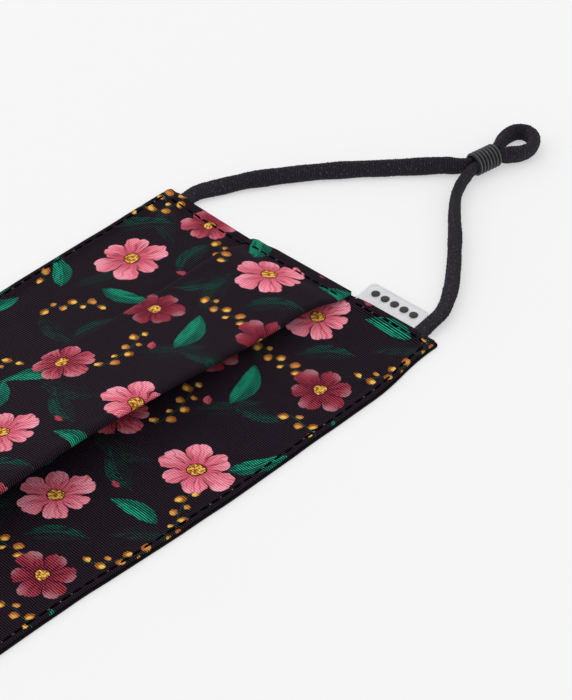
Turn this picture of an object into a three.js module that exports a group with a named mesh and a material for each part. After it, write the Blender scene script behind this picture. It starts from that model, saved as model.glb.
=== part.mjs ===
import * as THREE from 'three'
import { mergeVertices } from 'three/addons/utils/BufferGeometryUtils.js'

// Pleated cloth face mask, folded flat and lying face up on a table at z = 0.
// X runs along the mask between its side seams, Y from its lower to its upper edge.
// All sizes are in millimetres.

// Panel of two plies sewn together, with turned hems along its lower and upper edges
const MASK_LENGTH = 180
const MASK_HEIGHT = 95
const CORNER_RADIUS = 2
const CLOTH = 1.0
const HEM_RISE = 1.0
const HEM_WIDTH = 4
const UNDERLAP = 0.8

// Pleat
const LOWER_PANEL = 28.5
const PLEAT_DEPTH = 32.5
const LAYER_GAP = 0.3
const FOLD_LIFT = 8
const FOLD_SETBACK = 1.3
const STEP_DOWN = 7

// Ear loops and the sleeves that both strands of a loop pass through
const CORD_WIDTH = 3.4
const CORD_THICKNESS = 2.2
const CORD_SIDES = 8
const CORD_STEPS = 72
const STRAND_GAP = 0.2
const STOPPER_LENGTH = 7.8
const STOPPER_WALL = 0.5
const STOPPER_X = 155.65
const STOPPER_Y = -7.1
const STOPPER_ANGLE = -8.9
const RIB_COUNT = 7
const RIB_DEPTH = 0.25
// A rib has its full height between these shares of its pitch
const RIB_TOP = { start: 0.3, end: 0.7 }
const STOPPER_SIDES = 16

// Label sewn into the right side seam
const LABEL_LENGTH = 19
const LABEL_REACH = 5.6
const LABEL_THICKNESS = 1.0
const LABEL_CORNER = 1.5
const LABEL_START = 8.2
const LABEL_LIFT = 0.9

const CLEARANCE = 0.3

// Sizes that follow from those above
const FOLD_RADIUS = (CLOTH + LAYER_GAP) / 2
const TABLE_LEVEL = CLOTH / 2
const LOWER_EDGE = -MASK_HEIGHT / 2
const UPPER_EDGE = MASK_HEIGHT / 2
const FOLD_EDGE = LOWER_EDGE + LOWER_PANEL
const HIDDEN_EDGE = FOLD_EDGE + PLEAT_DEPTH
const HALF_UPPER = MASK_LENGTH / 2
const HALF_UNDER = HALF_UPPER + UNDERLAP
const BORE_RADIUS = Math.hypot(CORD_THICKNESS + STRAND_GAP / 2, CORD_WIDTH / 4) + STRAND_GAP
const STOPPER_RADIUS = BORE_RADIUS + STOPPER_WALL + RIB_DEPTH

// Where the sections of a panel are taken, as shares of its half length from the middle
const STATION_SHARES = [0, 0.15, 0.3, 0.45, 0.6, 0.72, 0.82, 0.9, 0.955]
// Turns of the rounded corner at which the last sections are taken
const CORNER_TURNS = [0, Math.PI / 4, Math.PI / 2]
// Turned hem, from the edge inwards, as shares of its width and of its rise
const HEM_ROWS = [
  { along: 0, rise: 0.6 },
  { along: 0.35, rise: 1 },
  { along: 0.7, rise: 0.35 },
  { along: 1, rise: 0 },
]
// Where the lower panel's section has its points between its hem and the hidden fold
const LOWER_SHARES = [0.33, 0.67]
// Where the layer between the two folds has its points
const MIDDLE_SHARES = [0.33, 0.67]
// Where the upper panel's section has its points over the pleat and behind it
const OVER_PLEAT_SHARES = [0.2, 0.45, 0.7, 0.95]
const STEP_SHARES = [0.15, 0.32, 0.5, 0.68, 0.85, 1]
const UPPER_SHARES = [0.33, 0.67]
const FOLD_TURNS = 6
// Rounded corner of the label: how far along its side a row lies, and how much its reach is cut,
// both as shares of the corner's radius
const LABEL_CORNER_ROWS = [
  { along: 0, cut: 1 },
  { along: 0.3, cut: 0.3 },
  { along: 1, cut: 0 },
]

// Points of a geometry that lie closer than this become one
const MERGE_DISTANCE = 1e-4

const FINISHES = {
  cloth: { color: 0x2a1a26, roughness: 0.85 },
  elastic: { color: 0x18171b, roughness: 0.95 },
  sleeve: { color: 0x202024, roughness: 0.35 },
  label: { color: 0xc9ccd0, roughness: 0.3 },
}

const mix = (from, to, share) => from + (to - from) * share
const smooth = (share) => {
  const clamped = Math.min(1, Math.max(0, share))
  return clamped * clamped * (3 - 2 * clamped)
}

// Points of an arc in the Y-Z plane, each with the heading of a walk along it
function arcPoints(centreY, centreZ, from, to) {
  const turn = Math.sign(to - from)
  return Array.from({ length: FOLD_TURNS + 1 }, (_, step) => {
    const angle = mix(from, to, step / FOLD_TURNS)
    return {
      y: centreY + FOLD_RADIUS * Math.cos(angle),
      z: centreZ + FOLD_RADIUS * Math.sin(angle),
      heading: angle + turn * Math.PI / 2,
      rise: 0,
    }
  })
}

// Middle line of the folded cloth at one station: lower panel, hidden fold, visible fold, upper panel
function pleatSection(share, cornerInset) {
  const arch = 1 - share * share
  const hiddenY = HIDDEN_EDGE - CLOTH / 2 - FOLD_RADIUS
  const hiddenZ = TABLE_LEVEL + FOLD_RADIUS
  const noseY = FOLD_EDGE + CLOTH / 2 + FOLD_RADIUS + FOLD_SETBACK * arch
  const noseZ = TABLE_LEVEL + 3 * FOLD_RADIUS + FOLD_LIFT * arch
  const span = Math.hypot(hiddenY - noseY, noseZ - hiddenZ)
  const climb = Math.atan2(noseZ - hiddenZ, hiddenY - noseY) - Math.asin(2 * FOLD_RADIUS / span)

  const topLevel = noseZ + FOLD_RADIUS
  const rampEnd = UPPER_EDGE - HEM_WIDTH
  const stepStart = HIDDEN_EDGE + CLEARANCE
  const levelAt = (y) => {
    const atSeam = 1 - smooth((y - stepStart) / STEP_DOWN)
    const atMiddle = Math.max(0, (rampEnd - y) / (rampEnd - noseY))
    return mix(TABLE_LEVEL, topLevel, mix(atSeam, atMiddle, arch))
  }
  const headingAt = (y) => Math.atan2(levelAt(y + CLEARANCE) - levelAt(y - CLEARANCE), 2 * CLEARANCE)
  const descent = Math.atan2(topLevel - levelAt(noseY + FOLD_RADIUS), FOLD_RADIUS)

  const lowerStart = LOWER_EDGE + cornerInset
  const upperEnd = UPPER_EDGE - cornerInset
  const stepEnd = stepStart + STEP_DOWN
  const lowerHem = HEM_ROWS.map(({ along, rise }) => (
    { y: lowerStart + along * HEM_WIDTH, z: TABLE_LEVEL, heading: 0, rise: rise * HEM_RISE }
  ))
  const lower = LOWER_SHARES.map((along) => (
    { y: mix(lowerStart + HEM_WIDTH, hiddenY, along), z: TABLE_LEVEL, heading: 0, rise: 0 }
  ))
  const hidden = arcPoints(hiddenY, hiddenZ, -Math.PI / 2, Math.PI / 2 - climb)
  const nose = arcPoints(noseY, noseZ, 3 * Math.PI / 2 - climb, Math.PI / 2 - descent)
  const upperY = [
    ...OVER_PLEAT_SHARES.map((along) => mix(noseY, stepStart, along)),
    ...STEP_SHARES.map((along) => mix(stepStart, stepEnd, along)),
    ...UPPER_SHARES.map((along) => mix(stepEnd, upperEnd - HEM_WIDTH, along)),
  ]
  const upper = upperY.map((y) => ({ y, z: levelAt(y), heading: headingAt(y), rise: 0 }))
  const upperHem = HEM_ROWS.toReversed().map(({ along, rise }) => (
    { y: upperEnd - along * HEM_WIDTH, z: TABLE_LEVEL, heading: 0, rise: rise * HEM_RISE }
  ))
  const middle = MIDDLE_SHARES.map((along) => ({
    y: mix(hidden[FOLD_TURNS].y, nose[0].y, along),
    z: mix(hidden[FOLD_TURNS].z, nose[0].z, along),
    heading: Math.PI - climb,
    rise: 0,
  }))
  const under = [...lowerHem, ...lower, ...hidden, ...middle, ...nose.slice(0, FOLD_TURNS / 2)]
  const over = [...nose.slice(FOLD_TURNS / 2), ...upper, ...upperHem]
  return [
    ...under.map((p) => ({ ...p, half: HALF_UNDER })),
    ...over.map((p) => ({ ...p, half: HALF_UPPER })),
  ]
}

// Closed solid through a row of rings. Point k of each ring faces the point k places from its end,
// and the two faces are split into triangles alike, so a wall keeps its thickness where it twists.
function loft(rings) {
  const count = rings[0].length
  const positions = rings.flat().flatMap((p) => [p.x, p.y, p.z])
  const indices = []
  const quad = (a, b, c, d) => indices.push(a, b, c, a, c, d)
  for (let ring = 0; ring < rings.length - 1; ring++) {
    for (let k = 0; k < count; k++) {
      const here = ring * count
      const next = here + count
      const after = (k + 1) % count
      if (k < count / 2) quad(here + k, here + after, next + after, next + k)
      else quad(here + after, next + after, next + k, here + k)
    }
  }
  const last = (rings.length - 1) * count
  for (let k = 0; k < count / 2 - 1; k++) {
    quad(k, count - 1 - k, count - 2 - k, k + 1)
    quad(last + k, last + k + 1, last + count - 2 - k, last + count - 1 - k)
  }
  const geometry = new THREE.BufferGeometry()
  geometry.setAttribute('position', new THREE.Float32BufferAttribute(positions, 3))
  geometry.setIndex(indices)
  return geometry
}

function panelStations() {
  const corner = CORNER_TURNS.map((turn) => ({
    share: 1 - CORNER_RADIUS * (1 - Math.sin(turn)) / HALF_UPPER,
    inset: CORNER_RADIUS * (1 - Math.cos(turn)),
  }))
  const right = [...STATION_SHARES.map((share) => ({ share, inset: 0 })), ...corner]
  const left = right.slice(1).reverse().map(({ share, inset }) => ({ share: -share, inset }))
  return [...left, ...right]
}

// Pleated cloth with its back face below the middle line and its printed face above it
function panelGeometry() {
  const offset = (p, share, distance) => new THREE.Vector3(
    share * p.half,
    p.y - distance * Math.sin(p.heading),
    p.z + distance * Math.cos(p.heading),
  )
  const rings = panelStations().map(({ share, inset }) => {
    const line = pleatSection(share, inset)
    const back = line.map((p) => offset(p, share, -CLOTH / 2))
    const face = line.map((p) => offset(p, share, CLOTH / 2 + p.rise))
    return [...back, ...face.reverse()]
  })
  return loft(rings)
}

// Middle line of the right ear loop, from its upper seam to its lower seam through the stopper
const LOOP_ROUTE = [
  [HALF_UPPER + CLEARANCE, 41.0, 1.9],
  [93.5, 40.8, 1.9],
  [98.2, 39.2, 1.9],
  [103.7, 37.0, 1.9],
  [108.6, 34.3, 1.9],
  [121.7, 24.8, 1.9],
  [129.6, 18.0, 1.9],
  [137.2, 10.6, 1.9],
  [143.6, 3.9, 1.9],
  [147.6, -0.8, 2.3],
  [149.9, -4.1, 2.95],
  [152.0, -5.3, 3.35],
  [155.85, -5.9, 3.35],
  [159.7, -6.5, 3.35],
  [162.6, -5.9, 3.2],
  [166.6, -4.2, 2.6],
  [170.2, -3.5, 2.3],
  [172.9, -4.0, 2.2],
  [174.5, -6.1, 2.2],
  [173.9, -8.9, 2.2],
  [171.8, -10.9, 2.2],
  [168.9, -11.8, 2.4],
  [165.6, -11.5, 2.8],
  [162.2, -9.9, 3.2],
  [159.3, -8.9, 3.35],
  [155.45, -8.3, 3.35],
  [151.6, -7.7, 3.35],
  [148.4, -7.9, 2.9],
  [144.9, -8.7, 2.1],
  [139.8, -11.1, 1.9],
  [134.0, -15.3, 1.9],
  [124.0, -24.0, 1.9],
  [118.8, -28.2, 1.9],
  [113.7, -32.2, 1.9],
  [108.4, -36.0, 1.9],
  [103.2, -39.0, 1.9],
  [98.6, -40.8, 1.9],
  [94.6, -41.3, 1.9],
  [HALF_UNDER + CLEARANCE, -41.4, 1.9],
]

function cordGeometry(side) {
  const points = LOOP_ROUTE.map(([x, y, z]) => new THREE.Vector3(side * x, y, z))
  const section = new THREE.Shape()
  for (let k = 0; k < CORD_SIDES; k++) {
    const angle = 2 * Math.PI * k / CORD_SIDES
    const place = [CORD_WIDTH / 2 * Math.cos(angle), CORD_THICKNESS / 2 * Math.sin(angle)]
    if (k === 0) section.moveTo(...place)
    else section.lineTo(...place)
  }
  const path = new THREE.CatmullRomCurve3(points, false, 'centripetal')
  return new THREE.ExtrudeGeometry(section, { steps: CORD_STEPS, extrudePath: path })
}

// Ribbed sleeve about the Z axis, open through its bore
function stopperGeometry() {
  const pitch = STOPPER_LENGTH / RIB_COUNT
  const valley = STOPPER_RADIUS - RIB_DEPTH
  const profile = [[BORE_RADIUS, 0]]
  for (let rib = 0; rib < RIB_COUNT; rib++) {
    profile.push([valley, rib * pitch])
    profile.push([STOPPER_RADIUS, (rib + RIB_TOP.start) * pitch])
    profile.push([STOPPER_RADIUS, (rib + RIB_TOP.end) * pitch])
  }
  profile.push([valley, STOPPER_LENGTH], [BORE_RADIUS, STOPPER_LENGTH], [BORE_RADIUS, 0])
  const points = profile.map(([radius, along]) => new THREE.Vector2(radius, along - STOPPER_LENGTH / 2))
  const geometry = new THREE.LatheGeometry(points, STOPPER_SIDES)
  geometry.rotateZ(-Math.PI / 2)
  return geometry
}

// Thin tag that leaves the side seam nearly flat, with its outer corners rounded
function labelGeometry() {
  const near = LABEL_CORNER_ROWS.map(({ along, cut }) => (
    { y: along * LABEL_CORNER, reach: LABEL_REACH - cut * LABEL_CORNER }
  ))
  const far = near.toReversed().map(({ y, reach }) => ({ y: LABEL_LENGTH - y, reach }))
  const rows = [...near, { y: LABEL_LENGTH / 2, reach: LABEL_REACH }, ...far]
  const rings = rows.map(({ y, reach }) => {
    const rise = LABEL_LIFT * reach / LABEL_REACH
    return [
      new THREE.Vector3(0, y, LABEL_THICKNESS),
      new THREE.Vector3(reach, y, rise + LABEL_THICKNESS),
      new THREE.Vector3(reach, y, rise),
      new THREE.Vector3(0, y, 0),
    ]
  })
  return loft(rings)
}

function mesh(name, geometry, finish) {
  const solid = geometry.clone()
  for (const extra of ['normal', 'uv']) solid.deleteAttribute(extra)
  const merged = mergeVertices(solid, MERGE_DISTANCE)
  merged.computeVertexNormals()
  const made = new THREE.Mesh(merged, new THREE.MeshStandardMaterial({ ...finish, metalness: 0 }))
  made.name = name
  return made
}

const mask = new THREE.Group()
mask.add(mesh('pleated_panel', panelGeometry(), FINISHES.cloth))

for (const [sideName, side] of [['right', 1], ['left', -1]]) {
  mask.add(mesh(`ear_loop_${sideName}`, cordGeometry(side), FINISHES.elastic))
  const stopper = mesh(`cord_stopper_${sideName}`, stopperGeometry(), FINISHES.sleeve)
  stopper.position.set(side * STOPPER_X, STOPPER_Y, STOPPER_RADIUS)
  stopper.rotation.z = side * THREE.MathUtils.degToRad(STOPPER_ANGLE)
  mask.add(stopper)
}

const label = mesh('side_label', labelGeometry(), FINISHES.label)
label.position.set(HALF_UNDER + CLEARANCE, LOWER_EDGE + LABEL_START, TABLE_LEVEL)
mask.add(label)

export default mask
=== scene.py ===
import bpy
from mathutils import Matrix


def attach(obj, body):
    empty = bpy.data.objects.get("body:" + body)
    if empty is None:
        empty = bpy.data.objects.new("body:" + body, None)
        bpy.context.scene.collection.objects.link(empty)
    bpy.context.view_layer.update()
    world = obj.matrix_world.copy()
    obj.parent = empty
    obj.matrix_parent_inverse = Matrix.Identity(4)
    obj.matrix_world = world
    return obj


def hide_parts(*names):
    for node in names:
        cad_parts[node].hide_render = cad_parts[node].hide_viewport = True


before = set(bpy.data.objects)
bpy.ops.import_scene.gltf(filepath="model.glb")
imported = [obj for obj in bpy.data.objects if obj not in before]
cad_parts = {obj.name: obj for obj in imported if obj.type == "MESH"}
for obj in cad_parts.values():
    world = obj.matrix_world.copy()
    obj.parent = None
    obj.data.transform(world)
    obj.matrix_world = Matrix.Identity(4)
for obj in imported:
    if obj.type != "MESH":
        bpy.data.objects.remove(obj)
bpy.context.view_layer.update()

import math

import bpy
import numpy as np
from mathutils import Vector

# Sizes below are in millimetres, and MM turns them into metres
MM = 0.001

# Camera: it looks at a point of the table from the mask's lower left, above the floor
CAMERA_AZIMUTH = math.radians(-47.034)
CAMERA_ELEVATION = math.radians(39.004)
CAMERA_TARGET = Vector((63.72, -20.62, 0.0)) * MM
CAMERA_DISTANCE = 742.16 * MM
FOCAL_LENGTH_PIXELS = 3000
IMAGE_HEIGHT_PIXELS = 700
SENSOR = 36

camera = bpy.data.objects.new("camera", bpy.data.cameras.new("camera"))
bpy.context.scene.collection.objects.link(camera)
towards_camera = Vector((
    math.sin(CAMERA_AZIMUTH) * math.cos(CAMERA_ELEVATION),
    -math.cos(CAMERA_AZIMUTH) * math.cos(CAMERA_ELEVATION),
    math.sin(CAMERA_ELEVATION),
))
camera.location = CAMERA_TARGET + towards_camera * CAMERA_DISTANCE
camera.rotation_euler = towards_camera.to_track_quat("Z", "Y").to_euler()
camera.data.sensor_width = SENSOR
camera.data.lens = FOCAL_LENGTH_PIXELS / IMAGE_HEIGHT_PIXELS * SENSOR
camera.data.clip_end = 20
bpy.context.scene.camera = camera


# Node helpers
class Value:
    """What a node gives out. Arithmetic on it adds further nodes."""

    def __init__(self, graph, socket):
        self.graph = graph
        self.socket = socket

    def __add__(self, other):
        return self.graph.math("ADD", self, other)

    def __sub__(self, other):
        return self.graph.math("SUBTRACT", self, other)

    def __rsub__(self, other):
        return self.graph.math("SUBTRACT", other, self)

    def __mul__(self, other):
        return self.graph.math("MULTIPLY", self, other)

    def __truediv__(self, other):
        return self.graph.math("DIVIDE", self, other)

    def __pow__(self, other):
        return self.graph.math("POWER", self, other)

    def __abs__(self):
        return self.graph.math("ABSOLUTE", self)


class Graph:
    """Adds shader nodes to a tree. What is fed to a node is a number, a colour, a vector or a Value."""

    def __init__(self, tree):
        self.tree = tree

    def node(self, kind, **settings):
        made = self.tree.nodes.new(kind)
        for key, value in settings.items():
            setattr(made, key, value)
        return made

    def feed(self, socket, value):
        if isinstance(value, Value):
            self.tree.links.new(value.socket, socket)
        else:
            socket.default_value = value

    def fed(self, made, values, output=0):
        """Feeds a node's inputs in their order and gives one of its outputs."""
        for socket, value in zip(made.inputs, values):
            self.feed(socket, value)
        return Value(self, made.outputs[output])

    def math(self, operation, *values, clamp=False):
        return self.fed(self.node("ShaderNodeMath", operation=operation, use_clamp=clamp), values)

    def sine(self, value):
        return self.math("SINE", value)

    def vector(self, operation, *values):
        return self.fed(self.node("ShaderNodeVectorMath", operation=operation), values, "Vector")

    def length(self, vector):
        return self.fed(self.node("ShaderNodeVectorMath", operation="LENGTH"), [vector], "Value")

    def split(self, vector):
        made = self.node("ShaderNodeSeparateXYZ")
        self.feed(made.inputs[0], vector)
        return [Value(self, output) for output in made.outputs]

    def join(self, x=0.0, y=0.0, z=0.0):
        return self.fed(self.node("ShaderNodeCombineXYZ"), (x, y, z))

    def blend(self, share, low, high, mode="MIX"):
        made = self.node("ShaderNodeMix", data_type="RGBA", blend_type=mode)
        self.feed(made.inputs[0], share)
        self.feed(made.inputs[6], low)
        self.feed(made.inputs[7], high)
        return Value(self, made.outputs[2])

    def shade(self, colour, tone):
        """The colour times a grey tone."""
        return self.blend(1.0, colour, self.join(tone, tone, tone), "MULTIPLY")

    def noise(self, place, scale, detail=2.0, rough=0.5):
        made = self.node("ShaderNodeTexNoise")
        self.feed(made.inputs["Vector"], place)
        made.inputs["Scale"].default_value = scale
        made.inputs["Detail"].default_value = detail
        made.inputs["Roughness"].default_value = rough
        return Value(self, made.outputs[0])

    def step(self, value, low, high):
        """0 at low, 1 at high, smooth between them."""
        made = self.node("ShaderNodeMapRange", interpolation_type="SMOOTHSTEP")
        return self.fed(made, (value, low, high))

    def attribute(self, name):
        return Value(self, self.node("ShaderNodeAttribute", attribute_name=name).outputs["Vector"])

    def object_place(self):
        return Value(self, self.node("ShaderNodeTexCoord").outputs["Object"])


def linear(red, green, blue):
    """A colour given as 0 to 255 screen values, as the shader's linear values."""
    def channel(value):
        share = value / 255
        return share / 12.92 if share <= 0.04045 else ((share + 0.055) / 1.055) ** 2.4
    return (channel(red), channel(green), channel(blue), 1.0)


def new_material(name, colour, roughness, **sockets):
    """A material with its graph and its shader node, uniform values set on the shader's own sockets."""
    material = bpy.data.materials.new(name)
    material.use_nodes = True
    material.diffuse_color = colour
    shader = material.node_tree.nodes["Principled BSDF"]
    shader.inputs["Base Color"].default_value = colour
    shader.inputs["Roughness"].default_value = roughness
    for key, value in sockets.items():
        shader.inputs[key.replace("_", " ")].default_value = value
    return material, Graph(material.node_tree), shader


def add_bump(graph, shader, height, distance, strength):
    """distance is the height in millimetres of a full step of the height value."""
    bump = graph.node("ShaderNodeBump")
    bump.inputs["Strength"].default_value = strength
    bump.inputs["Distance"].default_value = distance * MM
    graph.feed(bump.inputs["Height"], height)
    graph.feed(shader.inputs["Normal"], Value(graph, bump.outputs[0]))


# Colours of the print
GROUND = linear(23, 16, 23)
PINK_TIP = linear(238, 142, 160)
PINK_THROAT = linear(205, 82, 104)
ROSE_TIP = linear(196, 88, 104)
ROSE_THROAT = linear(128, 38, 56)
WINE_TIP = linear(150, 52, 66)
WINE_THROAT = linear(84, 20, 36)
PETAL_LIGHT = (1.0, 0.72, 0.8, 1.0)
GOLD = linear(242, 192, 92)
GOLD_SHADE = linear(150, 84, 28)
COPPER = linear(176, 98, 50)
LEAF_LIGHT = linear(24, 136, 106)
LEAF_DARK = linear(11, 54, 46)
LEAF_DIM = linear(20, 38, 34)
INK = linear(24, 12, 18)
LINT = (0.8, 0.75, 0.8, 1.0)

# The print repeats after this many millimetres along and across the cloth
REPEAT = (90.8, 80.0)
EDGE_SOFTNESS = 0.16
PLACE_TRACE = 1e-6
PETALS = 6


def motif_group(name, inputs):
    """A node group that paints one motif over a colour. Its place is wrapped to the print's repeat."""
    tree = bpy.data.node_groups.new(name, "ShaderNodeTree")
    kinds = {"Below": "Color", "Place": "Vector", "Centre": "Vector", "Turn": "Float"}
    for key in inputs:
        kinds[key] = "Color" if "colour" in key else "Float"
    for key, kind in kinds.items():
        tree.interface.new_socket(key, in_out="INPUT", socket_type=f"NodeSocket{kind}")
    for key, kind in {"Colour": "Color", "Next place": "Vector"}.items():
        tree.interface.new_socket(key, in_out="OUTPUT", socket_type=f"NodeSocket{kind}")
    graph = Graph(tree)
    given = graph.node("NodeGroupInput").outputs
    entry = {key: Value(graph, given[key]) for key in kinds}
    leave = graph.node("NodeGroupOutput").inputs
    offset = graph.vector("SUBTRACT", entry["Place"], entry["Centre"])
    half = (REPEAT[0] / 2, REPEAT[1] / 2, 1)
    wrapped = graph.vector("WRAP", offset, half, (-half[0], -half[1], -1))
    rotate = graph.node("ShaderNodeVectorRotate", rotation_type="Z_AXIS", invert=True)
    graph.feed(rotate.inputs["Vector"], wrapped)
    graph.feed(rotate.inputs["Angle"], entry["Turn"])
    return tree, graph, entry, leave, Value(graph, rotate.outputs[0])


def finish_motif(graph, entry, leave, mask, colour):
    """Lays the motif's colour over the one below. The place handed on carries a vanishing trace of it,
    so that the motifs are worked out one after another and the whole print fits in one shader."""
    over = graph.blend(mask, entry["Below"], colour)
    trace = graph.vector("MULTIPLY", over, (PLACE_TRACE, PLACE_TRACE, PLACE_TRACE))
    graph.feed(leave["Colour"], over)
    graph.feed(leave["Next place"], graph.vector("ADD", entry["Place"], trace))


def blossom_group():
    """An open six-petalled blossom with streaked petals and a speckled golden centre."""
    tree, g, entry, leave, local = motif_group("blossom", ["Radius", "Seed", "Tip colour", "Throat colour"])
    x, y, _ = g.split(local)
    throat = entry["Throat colour"]
    wobble = g.noise(g.vector("ADD", local, entry["Centre"]), 0.32, 1) - 0.5
    reach = g.length(local) / entry["Radius"] + wobble * 0.18
    turn = g.math("ARCTAN2", y, x) / (math.tau / PETALS) + wobble * 0.35
    across = (g.math("FRACT", turn) - 0.5) * 2.0
    aside = abs(across)
    petal_seed = g.math("MODULO", g.math("FLOOR", turn), PETALS) * 2.4 + entry["Seed"]
    tallness = g.sine(petal_seed) * 0.1 + 0.98
    rounding = aside ** 3.4 * -0.36 + 1.0
    notch = g.step(aside, 0.16, 0.0) * 0.045
    outline = tallness * rounding - notch
    mask = g.step((outline - reach) * entry["Radius"], -EDGE_SOFTNESS, EDGE_SOFTNESS)

    streak = g.noise(g.join(across * 3.2 + petal_seed, reach * 1.3), 1.0, 3, 0.6)
    fine = g.noise(g.join(across * 9.0 + petal_seed, reach * 1.1, 4.0), 1.0, 1)
    tone = reach + (streak - 0.5) * 1.5
    colour = g.blend(g.step(tone, 0.2, 0.85), throat, entry["Tip colour"])
    colour = g.blend(g.step(fine, 0.5, 0.6) * 0.8, colour, throat)
    dark_line = g.step(streak, 0.47, 0.36) * g.step(reach, 0.95, 0.45)
    colour = g.blend(dark_line * 0.6, colour, INK)
    colour = g.blend(g.step(across, 0.1, 1.0) * 0.38, colour, throat)
    light = g.step(reach, 0.6, 0.98) * g.step(across, 0.4, -0.8)
    colour = g.blend(light * 0.22, colour, PETAL_LIGHT)
    vein = g.step(aside, 0.05, 0.0) * g.step(reach, 0.75, 0.3)
    colour = g.blend(vein * 0.55, colour, INK)
    gap = g.step(aside, 0.9, 0.99) * g.step(reach, 0.25, 0.5)
    colour = g.blend(gap, colour, INK)

    speckle = g.noise(g.vector("ADD", local, entry["Centre"]), 1.35, 1)
    heart = g.blend(g.step(speckle, 0.42, 0.6), GOLD_SHADE, GOLD)
    colour = g.blend(g.step(reach, 0.265, 0.225), colour, INK)
    colour = g.blend(g.step(reach, 0.225, 0.19), colour, heart)
    finish_motif(g, entry, leave, mask, colour)
    return tree


def bent_axis(g, entry, x, y):
    """Place along a bent motif from 0 to 1, a bow that is 0 at both ends, and the distance aside."""
    along = x / entry["Length"] + 0.5
    bow = along * (1.0 - along)
    return along, bow, y - bow * entry["Bend"]


def leaf_group():
    """A bent lance-shaped leaf, light along one half and the midrib, with slanting veins."""
    tree, g, entry, leave, local = motif_group(
        "leaf", ["Length", "Width", "Bend", "Light colour", "Dark colour"])
    x, y, _ = g.split(local)
    along, bow, side = bent_axis(g, entry, x, y)
    aside = abs(side)
    swell = g.math("MAXIMUM", bow * 4.0, 0.0) ** 0.8
    half_width = swell * (along * -0.45 + 1.2) * entry["Width"]
    mottle = g.noise(g.join(x * 0.3, side * 1.5, entry["Turn"]), 1.0, 2)
    edge = half_width - aside + (mottle - 0.5) * 0.5
    mask = g.step(edge, -0.12, 0.16) * g.step(bow, 0.0, 0.012)
    lit = (g.step(side, -0.3, 0.4) * 0.62 + 0.2) * g.step(mottle, 0.3, 0.62)
    lit = lit * g.step(bow, 0.02, 0.16) * (along * 0.7 + 0.75)
    colour = g.blend(lit, entry["Dark colour"], entry["Light colour"])
    slant = x - aside * 1.1
    vein = g.step(abs(g.math("FRACT", slant * 0.62) - 0.5), 0.42, 0.5)
    colour = g.blend(vein * 0.45, colour, entry["Dark colour"])
    colour = g.blend(g.step(aside, 0.2, 0.05) * 0.6, colour, entry["Light colour"])
    finish_motif(g, entry, leave, mask, colour)
    return tree


def sprig_group():
    """A bent stem with round berries on alternating sides."""
    tree, g, entry, leave, local = motif_group(
        "berry_sprig", ["Length", "Berries", "Bend", "Berry colour", "Shade colour"])
    x, y, _ = g.split(local)
    along, bow, side = bent_axis(g, entry, x, y)
    on_stem = g.step(bow, 0.0, 0.02)
    stem = g.step(abs(side), 0.26, 0.1) * on_stem
    count = along * entry["Berries"]
    cell = g.math("FLOOR", count)
    odd = g.math("MODULO", abs(cell), 2.0)
    dx = (count - cell - 0.5) * (entry["Length"] / entry["Berries"])
    dy = side - (odd * -2.5 + 1.25)
    lump = g.noise(g.vector("ADD", local, entry["Centre"]), 0.9, 1) - 0.5
    distance = lump * 0.9 + g.length(g.join(dx, dy))
    size = g.sine(cell * 2.3) * 0.28 + 1.04
    berry = g.step(size - distance, -0.1, 0.12) * on_stem
    glow = g.length(g.join(dx + 0.35, dy - 0.3))
    ripe = g.blend(g.step(glow, 1.15, 0.3), entry["Shade colour"], entry["Berry colour"])
    ripe = g.blend(g.step(g.sine(cell * 1.7), 0.3, 0.6) * 0.6, ripe, COPPER)
    colour = g.blend(berry, LEAF_DARK, ripe)
    finish_motif(g, entry, leave, g.math("MAXIMUM", berry, stem * 0.7), colour)
    return tree


# The print's own layout: each motif's place in the repeat, in millimetres, and its turn in degrees
LEAVES = [
    # x, y, turn, length, width, bend
    (4, 26, 62, 17, 2.9, 5),
    (27, 4, -28, 15, 2.6, -4),
    (41, 16, 118, 14, 2.4, 4),
    (46, 27, 22, 16, 2.9, -6),
    (68, 19, -52, 15, 2.7, 5),
    (86, 13, 96, 14, 2.5, -4),
    (64, 40, 148, 15, 2.6, 5),
    (88, 44, 38, 16, 2.8, -5),
    (34, 49, -12, 14, 2.3, 5),
    (7, 44, 128, 15, 2.7, -5),
    (12, 66, 72, 16, 2.8, 5),
    (50, 55, -72, 14, 2.6, -5),
    (73, 54, 12, 15, 2.7, 6),
    (46, 76, 52, 14, 2.5, -4),
    (74, 74, -42, 16, 2.8, 5),
    (26, 78, 160, 13, 2.2, 4),
]
# Dim leaves of a second layer behind the others
BACK_LEAVES = [
    (10, 31, 100, 19, 3.0, 6),
    (38, 24, -40, 18, 2.8, -6),
    (64, 33, 20, 20, 3.1, 7),
    (82, 4, 130, 18, 2.7, -6),
    (28, 56, 80, 19, 2.9, 6),
    (52, 66, -15, 18, 2.9, -7),
    (80, 70, 50, 19, 3.0, 6),
    (4, 72, -60, 17, 2.7, 5),
]
SPRIGS = [
    # x, y, turn, length, berries, bend
    (2, 3, 34, 19, 8, 7),
    (43, 4, 78, 17, 7, -6),
    (74, 4, 152, 18, 8, 7),
    (30, 34, 12, 19, 8, -8),
    (60, 27, 84, 16, 7, 6),
    (4, 56, -24, 18, 8, 7),
    (37, 61, 138, 17, 7, -6),
    (79, 48, 58, 17, 7, 6),
    (88, 76, -8, 18, 8, -6),
]
BLOSSOMS = [
    # x, y, turn, radius, tip, throat
    (15.5, 13, 8, 9.2, PINK_TIP, PINK_THROAT),
    (57, 11.5, 44, 7.8, WINE_TIP, WINE_THROAT),
    (78, 30, 15, 8.8, PINK_TIP, PINK_THROAT),
    (48, 40.5, 33, 7.4, WINE_TIP, WINE_THROAT),
    (17, 41, 52, 8.0, ROSE_TIP, ROSE_THROAT),
    (62, 66, 5, 9.0, PINK_TIP, PINK_THROAT),
    (86, 62, 40, 7.2, ROSE_TIP, ROSE_THROAT),
]
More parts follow.
